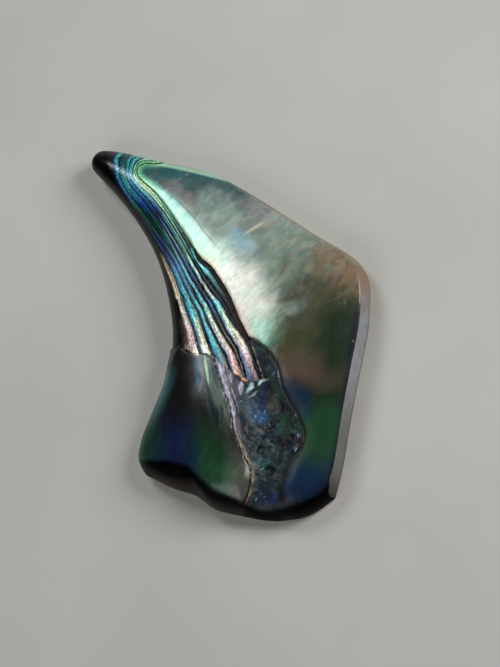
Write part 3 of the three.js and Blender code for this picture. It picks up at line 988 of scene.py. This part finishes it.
def polished_nacre(mottle_group, wear_group):
    """The whole polished side."""
    made, brush, shader = new_material("polished_nacre")
    place = brush.place()
    combed = brush.node("ShaderNodeMapping", vector_type="TEXTURE")
    brush.feed(combed.inputs["Vector"], place)
    combed.inputs["Rotation"].default_value = (0, 0, math.radians(50))
    combed.inputs["Scale"].default_value = (1.8, 0.9, 1.0)
    mottle = brush.group(mottle_group, combed.outputs[0], 5.0)
    wear = brush.group(wear_group, place, 1.0)
    flat = brush.field("drawing", "Vector")
    warp = brush.move("SUBTRACT", brush.noise(flat, 3.0, 3.0, output=1), (0.5, 0.5, 0.5))
    drawing = brush.move("MULTIPLY_ADD", warp, (3.0, 3.0, 0.0), flat)
    torn = brush.times(brush.math("SUBTRACT", brush.noise(flat, 0.7, 3.0), 0.5), 0.5)
    along = brush.field("along")

    def zone(name, soft):
        return brush.spread(brush.math("ADD", brush.field(name), torn), -soft, soft)

    flank, line = paint_flank(brush)
    face = paint_face(brush, drawing, flat, combed.outputs[0], mottle)
    on_flank = zone("flank", 0.08)
    colour = brush.mix(on_flank, face, flank)
    colour = brush.mix(zone("lobe", 0.1), colour, paint_lobe(brush, drawing, flat, mottle))
    in_groove = zone("groove", 0.25)
    colour = brush.mix(in_groove, colour, paint_groove(brush, drawing, mottle))
    open_crack = brush.times(brush.spread(along, 17.0, 20.0), brush.spread(along, 34.5, 32.5))
    crack = brush.plus(brush.plus(brush.field("crack"), open_crack, 0.3), torn, 0.6)
    crack_half = brush.plus(0.08, open_crack, 0.3)
    crack = brush.spread(brush.math("DIVIDE", brush.math("ABSOLUTE", crack), crack_half), 0.7, 1.3, 1.0, 0.0)
    crack = brush.times(crack, brush.spread(along, 36.0, 34.0))
    colour = brush.mix(crack, colour, brush.mix(mottle["Ripple"], "ink", "umber"))
    border = brush.spread(brush.math("ADD", brush.field("groove_side"), torn), 0.15, 0.6, 0.9, 0.0)
    colour = brush.mix(border, colour, "ink")
    # A painted highlight runs along the groove side of the ledge, broken up by noise, beside a dark gap line.
    ledge = brush.math("ADD", brush.field("ledge"), torn)
    highlight_breaks = brush.spread(brush.noise(flat, 1.1, 3.0), 0.38, 0.6, 0.15, 0.6)
    pale = brush.times(brush.spread(ledge, 0.0, 0.1), brush.spread(ledge, 0.5, 0.15), highlight_breaks)
    ledge_highlight_tone = brush.mix(brush.spread(brush.field("ledge_along"), 7.0, 13.0), "lilac", "tan")
    colour = brush.mix(pale, colour, ledge_highlight_tone)
    dark = brush.times(brush.spread(ledge, -0.35, -0.15), brush.spread(ledge, 0.1, 0.0), 0.8)
    colour = brush.mix(dark, colour, "ink")
    # The rolled foot is painted ink as shade, with a brown lip below it.
    foot = brush.plus(brush.field("foot"), torn, 0.6)
    on_foot = brush.spread(foot, -0.5, 0.6)
    colour = brush.mix(on_foot, colour, "ink")
    lip = brush.times(brush.spread(foot, 1.8, 3.2), mottle["Ripple"], 1.6)
    colour = brush.mix(lip, colour, "umber")
    brush.feed(shader.inputs["Base Color"], colour)
    # Metal keeps the painted shade on the foot and along the flank's outer edge dark, without grey
    # reflections.
    outer = brush.times(brush.spread(brush.field("layer"), 0.2, -0.2), on_flank)
    black = brush.math("MAXIMUM", on_foot, outer)
    by_groove = brush.spread(brush.field("groove_side"), 2.2, 0.6)
    dull = brush.math("MAXIMUM", brush.math("MAXIMUM", in_groove, by_groove), black)
    brush.feed(shader.inputs["Coat Weight"], brush.spread(dull, 0.0, 1.0, 0.15, 0.0))
    rough = brush.plus(0.24, mottle["Cloud"], 0.14)
    rough = brush.plus(rough, wear["Scratch"], 0.1)
    rough = brush.plus(rough, brush.math("MAXIMUM", in_groove, by_groove), 0.2)
    rough = brush.plus(rough, crack, 0.3)
    brush.feed(shader.inputs["Roughness"], rough)
    brush.feed(shader.inputs["Metallic"], brush.spread(black, 0.0, 1.0, 0.1, 0.85))
    shader.inputs["IOR"].default_value = 1.42
    shader.inputs["Coat Roughness"].default_value = 0.08
    height = brush.plus(brush.times(mottle["Ripple"], 0.3), line, -0.35)
    height = brush.plus(height, wear["Pit"], -0.3)
    brush.bump(shader, height, 0.04)
    return made


def sawn_wall(mottle_group, wear_group):
    """The satin wall that the saw has left."""
    made, brush, shader = new_material("sawn_wall")
    place = brush.place()
    mottle = brush.group(mottle_group, place, 2.5)
    turned = brush.node("ShaderNodeMapping")
    brush.feed(turned.inputs["Vector"], place)
    turned.inputs["Rotation"].default_value = (0, 0, math.radians(78))
    wear = brush.group(wear_group, turned.outputs[0], 1.0)
    colour = brush.ramp(mottle["Cloud"], WALL_CLOUDS)
    colour = brush.mix(brush.times(wear["Scratch"], 0.35), colour, "smoke")
    _, y, z = brush.parts(place)
    colour = brush.mix(brush.spread(y, WALL_TOP - 8, WALL_TOP - 1, 0.0, 0.9), colour, "bronze")
    colour = brush.mix(brush.spread(y, -10.0, -20.0, 0.0, 0.7), colour, "smoke")
    colour = brush.mix(brush.spread(z, 1.2, 0.4, 0.0, 0.6), colour, "umber")
    # Painted shade: the wall's lower end darkens to soot where it turns into the dark foot.
    colour = brush.mix(brush.spread(y, -24.0, -28.5, 0.0, 0.8), colour, "soot")
    brush.feed(shader.inputs["Base Color"], colour)
    brush.feed(shader.inputs["Roughness"], brush.plus(0.45, wear["Scratch"], 0.15))
    brush.bump(shader, brush.plus(wear["Scratch"], mottle["Ripple"], 0.5), 0.02)
    shader.inputs["Coat Weight"].default_value = 0.05
    return made


def lapped_back(mottle_group, wear_group):
    """The flat back: pale nacre with a satin grind."""
    made, brush, shader = new_material("lapped_back")
    place = brush.place()
    mottle = brush.group(mottle_group, place, 7.0)
    wear = brush.group(wear_group, place, 1.0)
    colour = brush.ramp(mottle["Cloud"], BACK_CLOUDS)
    colour = brush.mix(brush.times(mottle["Ripple"], 0.5), colour, "ash")
    colour = brush.mix(brush.times(wear["Scratch"], 0.25), colour, "smoke")
    brush.feed(shader.inputs["Base Color"], colour)
    brush.feed(shader.inputs["Roughness"], brush.plus(0.36, wear["Scratch"], 0.2))
    brush.bump(shader, brush.plus(wear["Scratch"], mottle["Ripple"], 0.4), 0.02)
    shader.inputs["Coat Weight"].default_value = 0.15
    return made


def store_fields(piece):
    """Keeps the fields on the mesh for the paint."""
    for name, values in shell_fields(vertex_places(piece)).items():
        kind = "FLOAT_VECTOR" if values.ndim == 2 else "FLOAT"
        stored = piece.data.attributes.new(name, kind, "POINT")
        stored.data.foreach_set("vector" if values.ndim == 2 else "value", values.astype(np.float32).ravel())


def lay_materials(piece, materials):
    """Polished nacre all over, except on the sawn wall and the lapped back."""
    for made in materials.values():
        piece.data.materials.append(made)
    numbers = {name: number for number, name in enumerate(materials)}
    for face in piece.data.polygons:
        x, _, z = face.normal
        middle = face.center / MM
        on_long_side = middle.x > WALL_SIDE and middle.y < WALL_TOP
        if z < BACK_FACING:
            face.material_index = numbers["back"]
        elif on_long_side and x > WALL_FACING and abs(z) < WALL_LEAN:
            face.material_index = numbers["wall"]


def add_light(name, place, size, energy, colour):
    """A soft box that points at the shell."""
    lamp = bpy.data.lights.new(name, "AREA")
    lamp.energy = energy
    lamp.size = size
    lamp.color = colour
    made = bpy.data.objects.new(name, lamp)
    bpy.context.scene.collection.objects.link(made)
    made.location = place
    made.rotation_euler = (-Vector(place)).to_track_quat("-Z", "Y").to_euler()


def add_camera():
    """The camera at the photograph's angle."""
    lens = bpy.data.cameras.new("camera")
    lens.lens = LENS
    lens.sensor_width = SENSOR
    lens.clip_start = 0.01
    made = bpy.data.objects.new("camera", lens)
    bpy.context.scene.collection.objects.link(made)
    turned = Matrix((SIDEWAYS, UPWARD, BACKWARD)).transposed().to_4x4()
    made.matrix_world = Matrix.Translation(EYE * MM) @ turned
    bpy.context.scene.camera = made


def add_floor():
    """The pale floor."""
    bpy.ops.object.select_all(action="DESELECT")
    bpy.ops.mesh.primitive_plane_add(size=FLOOR_SIZE, location=(0, 0, -FLOOR_DROP))
    made = bpy.context.object
    made.name = "floor"
    pale, brush, shader = new_material("floor_pale")
    cloud = brush.noise(brush.place(), 40.0, 4.0)
    grey = brush.spread(cloud, 0.3, 0.7, 0.46, 0.5)
    brush.feed(shader.inputs["Base Color"], brush.vector(grey, grey, brush.times(grey, 0.95)))
    shader.inputs["Roughness"].default_value = 0.85
    made.data.materials.append(pale)


def dim_world(level):
    """An even dim surround."""
    world = bpy.context.scene.world or bpy.data.worlds.new("surround")
    bpy.context.scene.world = world
    world.use_nodes = True
    world.node_tree.nodes["Background"].inputs["Color"].default_value = (level, level, level, 1)


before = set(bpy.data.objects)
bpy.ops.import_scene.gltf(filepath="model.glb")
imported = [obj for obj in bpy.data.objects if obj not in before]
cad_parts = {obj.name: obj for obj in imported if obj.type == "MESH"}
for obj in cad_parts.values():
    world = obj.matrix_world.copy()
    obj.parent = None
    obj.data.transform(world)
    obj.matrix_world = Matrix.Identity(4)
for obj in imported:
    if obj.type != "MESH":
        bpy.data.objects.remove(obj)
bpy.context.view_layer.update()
add_camera()
shell = shell_blank(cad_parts["abalone_shell"])
crease_arris(shell)
apply_modifier(shell, "SUBSURF", levels=ROUNDING_LEVELS, render_levels=ROUNDING_LEVELS)
refine(shell, detailed_places(shell))
carve_shell(shell)
store_fields(shell)
mottle = nacre_mottle_group()
wear = fine_wear_group()
finishes = {
    "polish": polished_nacre(mottle, wear),
    "wall": sawn_wall(mottle, wear),
    "back": lapped_back(mottle, wear),
}
lay_materials(shell, finishes)
make_active(shell)
bpy.ops.object.shade_smooth_by_angle(angle=SMOOTH_ANGLE)
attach(shell, "root")
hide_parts("abalone_shell")

add_floor()
for light in LIGHTS:
    add_light(*light)
dim_world(0.05)
bpy.context.scene.view_settings.view_transform = "Standard"
